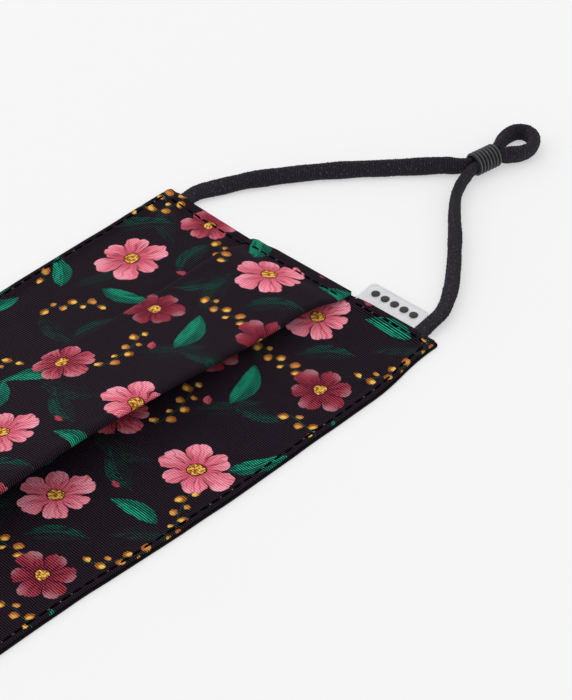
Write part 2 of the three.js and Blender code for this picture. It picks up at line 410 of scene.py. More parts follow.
# Loose petals scattered between the motifs, drawn as short broad leaves in petal colours
PETAL_FLECKS = [
    (36, 29, 40, 3.4, 1.0, 0.6),
    (66, 52, 110, 3.0, 0.9, -0.6),
    (6, 74, 15, 3.2, 0.9, 0.6),
    (90, 23, 75, 3.0, 0.8, 0.5),
    (54, 50, 150, 2.8, 0.8, -0.5),
]
BLOSSOM_SEED_STEP = 1.9


def paint_print(graph, place):
    """The whole print as one colour, from the ground up: leaves, sprigs, petals, blossoms."""
    painted = [GROUND, place]

    def stamp(tree, x, y, turn, **values):
        made = graph.node("ShaderNodeGroup", node_tree=tree)
        graph.feed(made.inputs["Below"], painted[0])
        graph.feed(made.inputs["Place"], painted[1])
        made.inputs["Centre"].default_value = (x, y, 0)
        made.inputs["Turn"].default_value = math.radians(turn)
        for key, value in values.items():
            made.inputs[key.replace("_", " ")].default_value = value
        painted[:] = [Value(graph, made.outputs[name]) for name in ("Colour", "Next place")]

    leaf = leaf_group()
    sprig = sprig_group()
    blossom = blossom_group()

    def stamp_leaf(row, light, dark):
        x, y, turn, length, width, bend = row
        stamp(leaf, x, y, turn, Length=length, Width=width, Bend=bend, Light_colour=light, Dark_colour=dark)

    for row in BACK_LEAVES:
        stamp_leaf(row, LEAF_DIM, GROUND)
    for index, row in enumerate(LEAVES):
        stamp_leaf(row, *((LEAF_LIGHT, LEAF_DARK) if index % 2 else (LEAF_DARK, GROUND)))
    for x, y, turn, length, berries, bend in SPRIGS:
        stamp(sprig, x, y, turn, Length=length, Berries=berries, Bend=bend,
              Berry_colour=GOLD, Shade_colour=GOLD_SHADE)
    for row in PETAL_FLECKS:
        stamp_leaf(row, ROSE_TIP, WINE_TIP)
    for index, (x, y, turn, radius, tip, throat) in enumerate(BLOSSOMS):
        stamp(blossom, x, y, turn, Radius=radius, Seed=BLOSSOM_SEED_STEP * index,
              Tip_colour=tip, Throat_colour=throat)
    return painted[0]


TWILL_PITCH = 0.6
TWILL_LEAN = 0.06
WEAVE_PITCH = 0.42
WEAVE_LEAN = 0.4
# How far the ribs lighten and darken the dark ground, and how much less the bright motifs
RIB_ON_DARK = 2.8
RIB_LOSS_ON_BRIGHT = 2.5
DARKEST_THREAD = 0.04
# The elastic's knit: columns round it and courses along it
KNIT_COLUMN = 0.9
KNIT_PITCH = 0.72


def printed_cloth():
    material, g, shader = new_material(
        "printed_twill", GROUND, 0.8, Sheen_Weight=0.008, Sheen_Roughness=0.4, Specular_IOR_Level=0.04)
    place = g.attribute("flat_mm")
    x, y, _ = g.split(place)
    drift = (g.noise(place, 0.8, 2) - 0.5) * 0.2
    rib = g.sine((x - y * TWILL_LEAN + drift) * (math.tau / TWILL_PITCH))
    yarn = g.sine((y + x * WEAVE_LEAN) * (math.tau / WEAVE_PITCH))
    ridges = yarn * 0.2 + rib * 0.5
    colour = paint_print(g, place)
    brightness = g.step(g.length(colour), 0.05, 0.4)
    rib_share = brightness * -RIB_LOSS_ON_BRIGHT + RIB_ON_DARK
    thread_tone = g.math("MAXIMUM", rib * rib_share + (yarn * 0.26 + 0.95), DARKEST_THREAD)
    patch_tone = g.noise(place, 0.09, 3) * 0.35 + 0.83
    colour = g.shade(colour, thread_tone * patch_tone)
    pale = g.step(g.noise(place, 2.6, 1), 0.6, 0.8) * 0.02
    g.feed(shader.inputs["Base Color"], g.blend(pale, colour, LINT))
    creases = g.noise(place, 0.16, 3) * 1.6
    add_bump(g, shader, ridges + creases, 0.08, 0.8)
    return material


def lining_cloth():
    material, g, shader = new_material(
        "lining_weave", linear(22, 19, 23), 0.85, Sheen_Weight=0.01, Sheen_Roughness=0.5,
        Specular_IOR_Level=0.05)
    place = g.attribute("flat_mm")
    x, y, _ = g.split(place)
    ridges = g.sine(x * (math.tau / WEAVE_PITCH)) * g.sine(y * (math.tau / WEAVE_PITCH))
    tone = ridges * 0.12 + (g.noise(place, 0.3, 3) * 0.5 + 0.75)
    g.feed(shader.inputs["Base Color"], g.shade(linear(19, 15, 19), tone))
    add_bump(g, shader, ridges, 0.08, 0.8)
    return material


def knitted_elastic():
    material, g, shader = new_material(
        "knitted_elastic", linear(24, 22, 27), 0.9, Sheen_Weight=0.05, Sheen_Roughness=0.45,
        Specular_IOR_Level=0.12)
    place = g.attribute("knit_mm")
    around, along, _ = g.split(place)
    column = abs(g.sine(around * (math.pi / KNIT_COLUMN)))
    loops = g.sine((along + column * 0.35) * (math.tau / KNIT_PITCH))
    fuzz = g.noise(place, 3.4, 3, 0.65)
    height = loops * 0.45 + column * 0.35 + fuzz
    colour = g.shade(linear(36, 33, 41), loops * 0.42 + (fuzz * 1.5 + 0.25))
    lint = g.step(g.noise(place, 1.9, 2), 0.6, 0.72) * 0.2
    g.feed(shader.inputs["Base Color"], g.blend(lint, colour, linear(170, 166, 172)))
    add_bump(g, shader, height, 0.18, 1.0)
    return material


def sewing_thread():
    material, g, shader = new_material(
        "sewing_thread", linear(3, 2, 3), 0.7, Specular_IOR_Level=0.02)
    strands = g.noise(g.object_place(), 5200, 2, 0.6)
    g.feed(shader.inputs["Base Color"], g.shade(linear(3, 2, 3), strands * 0.7 + 0.6))
    add_bump(g, shader, strands, 0.05, 0.7)
    return material


def stopper_rubber():
    material, g, shader = new_material("stopper_rubber", linear(16, 16, 18), 0.3, Specular_IOR_Level=0.3)
    place = g.object_place()
    crest, _, _ = g.split(g.attribute("crest"))
    grain = g.noise(place, 1400, 3, 0.6)
    g.feed(shader.inputs["Roughness"], grain * 0.2 + 0.2)
    dust = g.step(g.noise(place, 420, 2), 0.5, 0.75) * 0.2
    colour = g.blend(dust, linear(11, 11, 13), linear(34, 34, 37))
    # Painted highlight: the crests of the ribs are painted pale in places, standing in for light glinting on
    # them
    crest_highlight = g.math("MULTIPLY", crest, g.noise(place, 700, 1) * 1.7 - 0.1, clamp=True)
    g.feed(shader.inputs["Base Color"], g.blend(crest_highlight, colour, linear(92, 91, 96)))
    add_bump(g, shader, grain, 0.03, 0.6)
    return material


def mottled(name, colour, roughness, spots, dark, light, grain=None, **sockets):
    """A plain material mottled by a noise, given as scale and detail, with a grain of another scale."""
    material, g, shader = new_material(name, colour, roughness, **sockets)
    place = g.object_place()
    g.feed(shader.inputs["Base Color"], g.blend(g.noise(place, *spots), dark, light))
    if grain:
        add_bump(g, shader, g.noise(place, grain, 2), 0.02, 0.5)
    return material


def pale_prick():
    return mottled("needle_prick", linear(118, 112, 118), 0.8, (2600, 1), linear(70, 64, 70),
                   linear(150, 144, 150), Sheen_Weight=0.1)


def label_rubber():
    return mottled("label_rubber", linear(230, 229, 231), 0.3, (260, 2), linear(222, 221, 223),
                   linear(240, 239, 241), 1900, IOR=1.43, Transmission_Weight=0.22, Specular_IOR_Level=0.5)


def mark_rubber():
    return mottled("label_marks", linear(22, 22, 24), 0.42, (1500, 2), linear(16, 16, 18),
                   linear(32, 32, 35), 1500, Specular_IOR_Level=0.45)


def make_piece(name, vertices, faces, material, attributes=()):
    """A mesh object from points in millimetres, riding on the part's one body."""
    data = bpy.data.meshes.new(name)
    data.from_pydata((np.asarray(vertices) * MM).tolist(), [], faces)
    data.materials.append(material)
    data.shade_smooth()
    for key, values in attributes:
        layer = data.attributes.new(key, "FLOAT_VECTOR", "POINT")
        layer.data.foreach_set("vector", np.asarray(values, dtype=np.float32).ravel())
    data.validate()
    piece = bpy.data.objects.new(name, data)
    bpy.context.scene.collection.objects.link(piece)
    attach(piece, "root")
    return piece


def tube_faces(rings, sides, start=0, turned=False):
    """Faces of a capped tube whose rings of points follow one another from index start."""
    faces = [tuple(range(sides))[::-1]]
    for first in range(0, (rings - 1) * sides, sides):
        for k in range(sides):
            a, b = first + k, first + (k + 1) % sides
            faces.append((a, b, b + sides, a + sides))
    faces.append(tuple(range((rings - 1) * sides, rings * sides)))
    if turned:
        faces = [face[:1] + face[:0:-1] for face in faces]
    return [tuple(start + k for k in face) for face in faces]


def circle(sides):
    return np.arange(sides) / sides * math.tau


# Ear loops: middle line from the upper seam through the sleeve and back to the lower seam
LOOP_ROUTE = [
    (91.7, 40.4, 1.9), (94.3, 39.8, 1.9), (97.8, 38.3, 1.9), (102.7, 35.9, 1.9),
    (107.6, 33.2, 1.9), (120.8, 23.9, 1.9), (128.8, 17.2, 1.9), (136.6, 9.9, 1.9),
    (143.3, 3.6, 1.9), (147.6, -0.8, 2.3), (149.9, -4.1, 2.95), (152.0, -5.3, 3.35),
    (155.85, -5.9, 3.35), (159.7, -6.5, 3.35), (162.6, -5.9, 3.2), (166.2, -4.4, 2.6),
    (169.8, -3.8, 2.3), (172.4, -4.4, 2.2), (173.9, -6.6, 2.2), (173.3, -9.4, 2.2),
    (171.2, -11.5, 2.2), (168.4, -12.5, 2.4), (165.2, -12.1, 2.8), (162.0, -10.3, 3.1),
    (159.3, -8.9, 3.35), (155.45, -8.3, 3.35), (151.6, -7.7, 3.35), (148.4, -7.9, 2.9),
    (144.9, -8.7, 2.1), (139.8, -11.1, 1.9), (134.0, -15.3, 1.9), (124.0, -24.0, 1.9),
    (118.8, -28.2, 1.9), (113.7, -32.2, 1.9), (108.4, -36.0, 1.9), (103.2, -39.0, 1.9),
    (98.6, -40.8, 1.9), (94.6, -41.3, 1.9), (91.1, -41.4, 1.9),
]
# Section of the elastic along the route: width, thickness, and lean of its wide side from upright
LOOP_SECTIONS = [
    # route point, width, thickness, lean in degrees
    (0, 4.6, 1.7, 84),
    (2, 4.6, 2.4, 66),
    (4, 4.5, 2.9, 44),
    (7, 4.55, 2.9, 36),
    (8, 4.6, 2.9, 30),
    (9.3, 4.9, 3.0, 14),
    (10, 4.2, 2.6, 8),
    (11, 3.1, 2.1, 0),
    (13, 3.1, 2.1, 0),
    (15, 4.2, 2.9, 10),
    (18, 4.5, 3.0, 16),
    (21, 4.9, 3.3, 16),
    (22, 5.1, 3.2, 8),
    (23, 4.9, 3.0, 2),
    (23.5, 4.2, 2.6, 0),
    (23.9, 3.2, 2.2, 0),
    (26, 3.1, 2.1, 0),
    (26.5, 3.5, 2.3, 0),
    (27.3, 4.1, 2.7, 2),
    (29, 4.3, 2.8, 8),
    (31, 4.4, 2.8, 36),
    (34, 4.4, 2.8, 52),
    (36, 4.6, 2.4, 68),
    (38, 4.6, 1.7, 84),
]
CORD_SIDES = 28
CORD_STEP = 0.3
CORD_SQUARENESS = 0.86
KNIT_GIRTH = 12
KNIT_RELIEF = 0.07
KNIT_FUZZ = 0.045
KNIT_WANDER = 0.05
# Its middle line at both seams: steps from the first and last point of the route, and heights
TUCK_START = [(-1.7, 0.05, 1.15), (0.5, -0.05, 1.35)]
TUCK_END = [(0.3, 0.0, 1.35), (-2.5, -0.05, 1.15)]
TUCK_THICKNESS = 0.9
TUCK_FADE = 3.0
# Samples on either side over which the middle line's height is evened out, and room left for the knit
LEVEL_SPREAD = 5
LEVEL_CLEARANCE = 0.28


def smooth_route(points, step):
    """A centripetal Catmull-Rom curve through the points, sampled evenly, with each sample's route index."""
    points = np.asarray(points, dtype=float)
    padded = np.vstack([2 * points[0] - points[1], points, 2 * points[-1] - points[-2]])
    samples = []
    indices = []
    parts = 24
    for start in range(len(points) - 1):
        four = padded[start:start + 4]
        knots = np.concatenate([[0], np.cumsum(np.linalg.norm(np.diff(four, axis=0), axis=1) ** 0.5)])
        for share in np.arange(parts) / parts:
            t = knots[1] + share * (knots[2] - knots[1])
            a = [(knots[k + 1] - t) / (knots[k + 1] - knots[k]) * four[k]
                 + (t - knots[k]) / (knots[k + 1] - knots[k]) * four[k + 1] for k in range(3)]
            b = [(knots[k + 2] - t) / (knots[k + 2] - knots[k]) * a[k]
                 + (t - knots[k]) / (knots[k + 2] - knots[k]) * a[k + 1] for k in range(2)]
            samples.append((knots[2] - t) / (knots[2] - knots[1]) * b[0]
                           + (t - knots[1]) / (knots[2] - knots[1]) * b[1])
            indices.append(start + share)
    samples.append(points[-1])
    indices.append(len(points) - 1)
    samples = np.asarray(samples)
    along = np.concatenate([[0], np.cumsum(np.linalg.norm(np.diff(samples, axis=0), axis=1))])
    even = np.linspace(0, along[-1], int(along[-1] / step) + 1)
    line = np.column_stack([np.interp(even, along, samples[:, k]) for k in range(3)])
    return line, np.interp(even, along, indices), even


def loop_line():
    """The right loop's middle line with its tucked ends, and its section at each sample."""
    tucks = [[(end[0] + dx, end[1] + dy, z) for dx, dy, z in steps]
             for end, steps in ((LOOP_ROUTE[0], TUCK_START), (LOOP_ROUTE[-1], TUCK_END))]
    line, index, along = smooth_route(tucks[0] + LOOP_ROUTE[1:-1] + tucks[1], CORD_STEP)
    index = np.clip(index - 1, 0, len(LOOP_ROUTE) - 1)
    table = np.asarray(LOOP_SECTIONS, dtype=float)
    width, thickness, lean = (np.interp(index, table[:, 0], table[:, k]) for k in (1, 2, 3))
    lean = np.radians(lean)
    # The ends flatten between the plies
    out = smooth_step(np.minimum(along, along[-1] - along) / TUCK_FADE)
    thickness = TUCK_THICKNESS + (thickness - TUCK_THICKNESS) * out
    half_height = np.hypot(width / 2 * np.cos(lean), thickness / 2 * np.sin(lean))
    level = np.maximum(line[:, 2], half_height + LEVEL_CLEARANCE)
    spread = np.pad(level, LEVEL_SPREAD, mode="edge")
    line[:, 2] = np.convolve(spread, np.ones(2 * LEVEL_SPREAD + 1) / (2 * LEVEL_SPREAD + 1), mode="valid")
    return line, along, width, thickness, lean


def ear_loop(name, side, material):
    line, along, width, thickness, lean = loop_line()
    line = line * np.array([side, 1, 1])
    tangent = np.gradient(line, axis=0)
    tangent /= np.linalg.norm(tangent, axis=1, keepdims=True)
    level = np.column_stack([-side * tangent[:, 1], side * tangent[:, 0], np.zeros(len(line))])
    level /= np.linalg.norm(level, axis=1, keepdims=True)
    upright = np.cross(level, tangent) * -side
    upright /= np.linalg.norm(upright, axis=1, keepdims=True)
    upright *= np.sign(upright[:, 2:3])
    wide = np.cos(lean)[:, None] * upright + np.sin(lean)[:, None] * level
    thin = -np.sin(lean)[:, None] * upright + np.cos(lean)[:, None] * level
    angle = circle(CORD_SIDES)
    across, through = (np.sign(c) * np.abs(c) ** CORD_SQUARENESS for c in (np.cos(angle), np.sin(angle)))
    courses = np.sin(math.tau * along[:, None] / KNIT_PITCH + 1.6 * np.abs(np.sin(4 * angle))[None, :])
    wander = KNIT_WANDER * (np.sin(along / 3.1) + np.sin(along / 1.7 + 1.0))
    fuzz = np.random.default_rng(11).normal(0, KNIT_FUZZ, courses.shape)
    grow = KNIT_RELIEF * courses + fuzz + wander[:, None] * np.abs(np.cos(angle))[None, :]
    points = (
        line[:, None, :]
        + (width[:, None] / 2 + grow)[:, :, None] * across[None, :, None] * wide[:, None, :]
        + (thickness[:, None] / 2 + grow)[:, :, None] * through[None, :, None] * thin[:, None, :]
    )
    girth = angle / math.tau * KNIT_GIRTH
    knit = np.stack(np.broadcast_arrays(girth[None, :], along[:, None], 0.0), axis=-1)
    faces = tube_faces(len(line), CORD_SIDES)
    if side > 0:
        faces = [face[::-1] for face in faces]
    piece = make_piece(name, points.reshape(-1, 3), faces, material,
                       [("knit_mm", knit.reshape(-1, 3))])
    return piece, line, along[-1]


# Sleeves: ribbed rubber tubes that both strands of a loop pass through
STOPPER_LENGTH = 7.8
STOPPER_RADIUS = 3.25
STOPPER_BORE = 2.5
STOPPER_X = 155.65
STOPPER_Y = -7.1
STOPPER_ANGLE = math.radians(-8.9)
RIBS = 7
RIB_DEPTH = 0.55
RIB_STEPS = 8
RIB_SHARE = 0.88
# Powers of a half sine wave: a low one is blunt, a high one is sharp
RIB_BLUNTNESS = 0.55
# CREST_SHARPNESS narrows the line along each crest where the highlight is painted
CREST_SHARPNESS = 7
STOPPER_SIDES = 72


def cord_stopper(name, side, material):
    profile = [(STOPPER_BORE + 0.2, 0.0, 0.0)]
    pitch = STOPPER_LENGTH / RIBS
    for rib in range(RIBS):
        for step in range(RIB_STEPS + 1):
            share = step / RIB_STEPS
            wave = math.sin(math.pi * share) if 0 < share < 1 else 0.0
            radius = STOPPER_RADIUS - RIB_DEPTH * (1 - wave ** RIB_BLUNTNESS)
            along = (rib + (1 - RIB_SHARE) / 2 + RIB_SHARE * share) * pitch
            profile.append((radius, along, wave ** CREST_SHARPNESS))
    profile += [
        (STOPPER_BORE + 0.2, STOPPER_LENGTH, 0.0),
        (STOPPER_BORE, STOPPER_LENGTH - 0.25, 0.0),
        (STOPPER_BORE, 0.25, 0.0),
    ]
    points = []
    axis = np.array([math.cos(side * STOPPER_ANGLE), math.sin(side * STOPPER_ANGLE), 0])
    level = np.array([-axis[1], axis[0], 0])
    centre = np.array([side * STOPPER_X, STOPPER_Y, STOPPER_RADIUS + 0.02])
    for angle in circle(STOPPER_SIDES):
        outward = level * math.cos(angle) + np.array([0, 0, 1]) * math.sin(angle)
        for radius, along, _ in profile:
            points.append(centre + outward * radius + axis * (along - STOPPER_LENGTH / 2))
    count = len(profile)
    faces = []
    for turn in range(STOPPER_SIDES):
        here = turn * count
        there = (turn + 1) % STOPPER_SIDES * count
        for k in range(count):
            after = (k + 1) % count
            faces.append((here + k, here + after, there + after, there + k))
    # Each point's share of the painted crest highlight
    crests = [(crest, crest, crest) for _, _, crest in profile] * STOPPER_SIDES
    return make_piece(name, points, faces, material, [("crest", crests)])


# Folded cloth: sizes of the panel and its pleat
MASK_LENGTH = 180
MASK_HEIGHT = 95
CORNER_RADIUS = 1.4
CLOTH = 1.0
UNDERLAP = 0.8
LOWER_PANEL = 28.5
PLEAT_DEPTH = 32.5
FOLD_RADIUS = 0.65
FOLD_LIFT = 8
FOLD_SETBACK = 1.3
STEP_DOWN = 2.2
# Along the side seams the folded layers are sewn flat: how far above the table that starts, the share
# of the height above it that is left, and the distance from the seam where it starts to fade
PRESS_LEVEL = 1.2
PRESS_SHARE = 0.45
PRESS_AWAY = (1.5, 9.5)
# Where along the seam that starts and ends. A pair is a place and the distance of the change there.
PRESS_FROM = (-24, 3)
PRESS_TO = (20, 10)
# The visible fold rises higher left of the middle, and its stiff end stands up a little by each seam
LIFT_LEVEL = 1.05
LIFT_SKEW = 0.55
LIFT_END = 0.575
LIFT_END_PLACE = 0.85
LIFT_END_WIDTH = 0.12
CLEARANCE = 0.3
TABLE_LEVEL = CLOTH / 2
HEM_WIDTH = 4
# Rows round the hidden bend, on the slope up from it and round the nose of the visible fold
BEND_ROWS = 10
SLOPE_ROWS = 13
NOSE_ROWS = 15
# How the upper panel leaves the nose, and over how many rows the layers step in by the underlap
FIRST_UPPER_ROW = 0.35
NOSE_BLEND = 2.0
NOSE_DROP_SHARE = 0.6
STEP_IN_ROWS = 14
# Waves of the sewn edges and of the layers on top: height, length and shift
EDGE_WAVER = ((0.08, 6.1, 0.4), (0.056, 2.9, 0.0))
DENT_SLOW = 0.17
DENT_FINE = 0.05
DENT_AWAY = (3.5, 6)
# The column at which the length of the folded cloth is measured, as a share of all columns
MEASURED_COLUMN = 0.2
# Each ply's two faces, as distances from the cloth's middle line, and how much the hems add to them
OUTER_BACK = 0.03
OUTER_FACE = 0.48
LINING_FACE = -0.03
LINING_BACK = -0.48
HEM_UNDER_OUTER = 0.3
HEM_ON_OUTER = 0.62
HEM_ON_LINING = 0.27
HEM_SLOPE = (0.2, 2.0)
SIDE_HEM_SHARE = 0.5
ROLL_RADIUS = 0.42
# Lift of the outer ply over the ends of the elastic and the label
SWELLING_AWAY = (2.2, 2.4)
LOOP_SWELLING = 0.55
LOOP_SWELLING_REACH = (1.6, 1.8)
LABEL_SWELLING = 0.5
LABEL_SWELLING_FADE = 0.9
# The groove along the stitches
GROOVE_WIDTH = 0.5
GROOVE_DEPTH = 0.2
GROOVE_RIPPLE = 0.08
STITCH_INSET = 2.9
HEM_STITCH_INSET = 1.8
# Pitch, length and radius of the stitches along the sides and along the hems
SIDE_STITCH = (3.0, 2.35, 0.25)
HEM_STITCH = (3.55, 2.7, 0.28)
STITCH_RINGS = 7
STITCH_SIDES = 8
STITCH_START = 0.4
STITCH_JITTER = 0.12
STITCH_SLANT = 0.08
STITCH_TAPER = 0.55
STITCH_RISE = 0.2
STITCH_BLUNTNESS = 0.6
STITCH_SUNK = 0.1
STITCH_END_SUNK = 0.16
FLAP_STITCH_START = 1.2
LOWER_STITCH_END = 1.5
PRICK_CHANCE = 0.5
PRICK_RADII = (0.13, 0.2)
PRICK_BEFORE = 0.32
PRICK_LIFT = 0.03
LOWER_EDGE = -MASK_HEIGHT / 2
UPPER_EDGE = MASK_HEIGHT / 2
FOLD_EDGE = LOWER_EDGE + LOWER_PANEL
HIDDEN_EDGE = FOLD_EDGE + PLEAT_DEPTH
HIDDEN_BEND_Y = HIDDEN_EDGE - CLOTH / 2 - FOLD_RADIUS
# Where the lower and the upper panel lie on top, so that the sewing shows on them
LOWER_ON_TOP = (FOLD_EDGE - 5, 4)
UPPER_ON_TOP = (FOLD_EDGE + 1, 5)
HALF_UPPER = MASK_LENGTH / 2
HALF_UNDER = HALF_UPPER + UNDERLAP
LOOP_SEAM_Y = 41.2
LABEL_SPAN = (-39.4, -20.2)
# The lower panel lies further out from under the fold along most of its length, but not at its ends
HEM_BOW = 2.25
HEM_BOW_RIGHT = (88, -24)
HEM_BOW_LEFT = (-50, 68)
HEM_BOW_FADE = 20
# Above the end of the under layer the side seams lean outwards
SEAM_FLARE = 0.052
SEAM_FLARE_START = 11
SEAM_FLARE_INNER = 40
# The under layer stops showing beside the seam here
UNDERLAP_END = (9.5, 1.5)

# Distances from a border at which its rows are taken, so that rolled edges and stitch lines show
BORDER_ROWS = [0, 0.03, 0.1, 0.22, 0.4, 0.65, 0.95, 1.3, 1.7, 2.1, 2.5, 2.9, 3.3, 3.8, 4.4, 5.1]


def smooth_step(value):
    value = np.clip(value, 0, 1)
    return value * value * (3 - 2 * value)


def rise(value, start, width):
    """0 up to start, 1 beyond the width of the change, smooth between them."""
    return smooth_step((value - start) / width)


def fall(value, start, width):
    return 1 - rise(value, start, width)


def rows_between(start, end, spacing):
    return list(np.linspace(start, end, max(2, round((end - start) / spacing) + 1)))


class FoldedCloth:
    """The folded middle line of the cloth at every column, with the distances that shape its plies."""

    def __init__(self, side_inset, hem_inset, fine, coarse):
        self.side_inset = side_inset
        self.hem_inset = hem_inset
        self.half = HALF_UNDER - side_inset

        def rows_from_border(end):
            return BORDER_ROWS[:-1] + rows_between(BORDER_ROWS[-1], end, fine)

        seen = LOWER_PANEL - hem_inset
        under = HIDDEN_BEND_Y - LOWER_EDGE - hem_inset
        self.lower = np.array(rows_from_border(seen)[:-1] + rows_between(seen, under, coarse))
        upper = UPPER_EDGE - FOLD_EDGE - hem_inset
        ends = [upper - d for d in reversed(BORDER_ROWS)]
        self.upper = np.array(rows_between(FIRST_UPPER_ROW, ends[0], fine)[:-1] + ends)
        right = 1 - np.array(rows_from_border(self.half)) / self.half
        self.shares = np.concatenate([-right[:-1], right[::-1]])
        self.side_distance = (self.half * (1 - np.abs(self.shares)))[None, :]
        self.build()

    def column(self, share):
        arch = 1 - share * share
        from_side = self.half * (1 - abs(share))
        reach = max(0.0, 1 - from_side / CORNER_RADIUS)
        corner = CORNER_RADIUS * (1 - math.sqrt(1 - reach * reach))
        x = share * self.half
        waver = sum(height * math.sin(x / length + shift) for height, length, shift in EDGE_WAVER)
        start = LOWER_EDGE + self.hem_inset + corner + max(waver, 0)
        end = UPPER_EDGE - self.hem_inset - corner - max(-waver, 0)
        hidden_z = TABLE_LEVEL + FOLD_RADIUS
        nose_y = FOLD_EDGE + CLOTH / 2 + FOLD_RADIUS + FOLD_SETBACK * arch
        stiff_end = LIFT_END * math.exp(-((abs(share) - LIFT_END_PLACE) / LIFT_END_WIDTH) ** 2)
        lift = FOLD_LIFT * arch * (LIFT_LEVEL - LIFT_SKEW * share + stiff_end)
        nose_z = TABLE_LEVEL + 3 * FOLD_RADIUS + lift
        span = math.hypot(HIDDEN_BEND_Y - nose_y, nose_z - hidden_z)
        climb = math.atan2(nose_z - hidden_z, HIDDEN_BEND_Y - nose_y) - math.asin(2 * FOLD_RADIUS / span)
        top = nose_z + FOLD_RADIUS
        ramp_end = UPPER_EDGE - HEM_WIDTH
        step_start = HIDDEN_EDGE + CLEARANCE

        def level(y):
            at_seam = fall(y, step_start, STEP_DOWN)
            at_middle = np.maximum(0, (ramp_end - y) / (ramp_end - nose_y))
            return TABLE_LEVEL + (top - TABLE_LEVEL) * (at_seam + (at_middle - at_seam) * arch)

        descent = math.atan2(top - float(level(nose_y + FOLD_RADIUS)), FOLD_RADIUS)
        lower_y = start + self.lower * (HIDDEN_BEND_Y - start) / self.lower[-1]
        hidden = np.linspace(-math.pi / 2, math.pi / 2 - climb, BEND_ROWS)[1:]
        nose = np.linspace(3 * math.pi / 2 - climb, math.pi / 2 - descent, NOSE_ROWS)
        hidden_yz = (HIDDEN_BEND_Y + FOLD_RADIUS * np.cos(hidden), hidden_z + FOLD_RADIUS * np.sin(hidden))
        nose_yz = (nose_y + FOLD_RADIUS * np.cos(nose), nose_z + FOLD_RADIUS * np.sin(nose))
        middle_y, middle_z = (
            np.linspace(hidden_yz[k][-1], nose_yz[k][0], SLOPE_ROWS + 2)[1:-1] for k in range(2))
        upper_start = nose_yz[0][-1]
        upper_y = upper_start + self.upper * (end - upper_start) / self.upper[-1]
        upper_z = level(upper_y)
        blend_in = rise(upper_y, upper_start, NOSE_BLEND)
        off_nose = nose_yz[1][-1] - (upper_y - upper_start) * math.tan(descent) * NOSE_DROP_SHARE
        upper_z = upper_z * blend_in + off_nose * (1 - blend_in)
        upper_heading = np.arctan2(np.gradient(upper_z), np.gradient(upper_y))
        y = np.concatenate([lower_y, hidden_yz[0], middle_y, nose_yz[0], upper_y])
        z = np.concatenate([np.full(len(lower_y), TABLE_LEVEL), hidden_yz[1], middle_z, nose_yz[1], upper_z])
        heading = np.concatenate([
            np.zeros(len(lower_y)), hidden + math.pi / 2, np.full(len(middle_y), math.pi - climb),
            nose - math.pi / 2, upper_heading,
        ])
        self.nose_row = len(lower_y) + len(hidden) + len(middle_y) + len(nose) // 2
        self.upper_row = len(y) - len(upper_y)
        self.lower_rows = len(lower_y)
        return y, z, heading

    def build(self):
        columns = [self.column(share) for share in self.shares]
        self.y, self.z, self.heading = (np.stack([c[k] for c in columns], axis=1) for k in range(3))
        rows = self.y.shape[0]
        turning = rise(np.arange(rows), self.nose_row - STEP_IN_ROWS / 2, STEP_IN_ROWS)
        ended = rise(self.y[:, 0], *UNDERLAP_END)
        half = self.half - UNDERLAP * np.maximum(turning, ended)
        self.x = half[:, None] * self.shares[None, :]
        self.is_lower = (np.arange(rows) < self.lower_rows)[:, None]
        column = int(len(self.shares) * MEASURED_COLUMN)
        steps = np.hypot(np.diff(self.y[:, column]), np.diff(self.z[:, column]))
        self.along = self.hem_inset + np.concatenate([[0], np.cumsum(steps)])
        self.total = self.along[-1] + self.hem_inset
        self.from_low = self.along[:, None]
        self.from_high = self.total - self.from_low
        self.from_side = self.side_distance + self.side_inset
        from_hem = np.minimum(self.from_low, self.from_high) - self.hem_inset
        self.border = np.minimum(from_hem, self.side_distance)
        # Only layers that lie on top are thickened along the side seams
        gate = np.zeros(rows)
        gate[:self.lower_rows] = fall(self.y[:self.lower_rows, 0], *LOWER_ON_TOP)
        gate[self.upper_row:] = rise(self.y[self.upper_row:, 0], *UPPER_ON_TOP)
        self.gate = gate[:, None]
        hems = fall(np.minimum(self.from_low, self.from_high) - HEM_STITCH_INSET, *HEM_SLOPE)
        sides = fall(self.from_side - STITCH_INSET, *HEM_SLOPE)
        self.hem = np.maximum(hems, SIDE_HEM_SHARE * sides * self.gate)
        self.add_undulation()
        self.add_seam_swelling()

    def add_undulation(self):
        """Soft unevenness of the layers that lie on top. It only rises, so the layers stay apart."""
        x, v = self.x, self.along[:, None]
        slow = np.sin(x / 9.7 + 1.4 * np.sin(v / 12.1) + 0.7) * np.cos(v / 10.3 + 0.9 * np.sin(x / 15.3))
        fine = np.sin(x / 3.9 + 1.1 * np.sin(v / 5.1)) * np.sin(v / 4.3 + 0.8)
        dents = DENT_SLOW * (1 + slow) + DENT_FINE * (1 + fine)
        self.z = self.z + dents * rise(self.border, *DENT_AWAY) * self.gate

    def add_seam_swelling(self):
        """How much the outer ply is lifted where an elastic end or the label is sewn in below it."""
        near = fall(self.side_distance, *SWELLING_AWAY)
        loops = fall(np.abs(np.abs(self.y) - LOOP_SEAM_Y), *LOOP_SWELLING_REACH)
        middle = sum(LABEL_SPAN) / 2
        reach = (LABEL_SPAN[1] - LABEL_SPAN[0]) / 2
        label = (self.x > 0) * self.is_lower * fall(np.abs(self.y - middle), reach, LABEL_SWELLING_FADE)
        self.swelling = near * np.maximum(LOOP_SWELLING * loops * self.gate, LABEL_SWELLING * label)

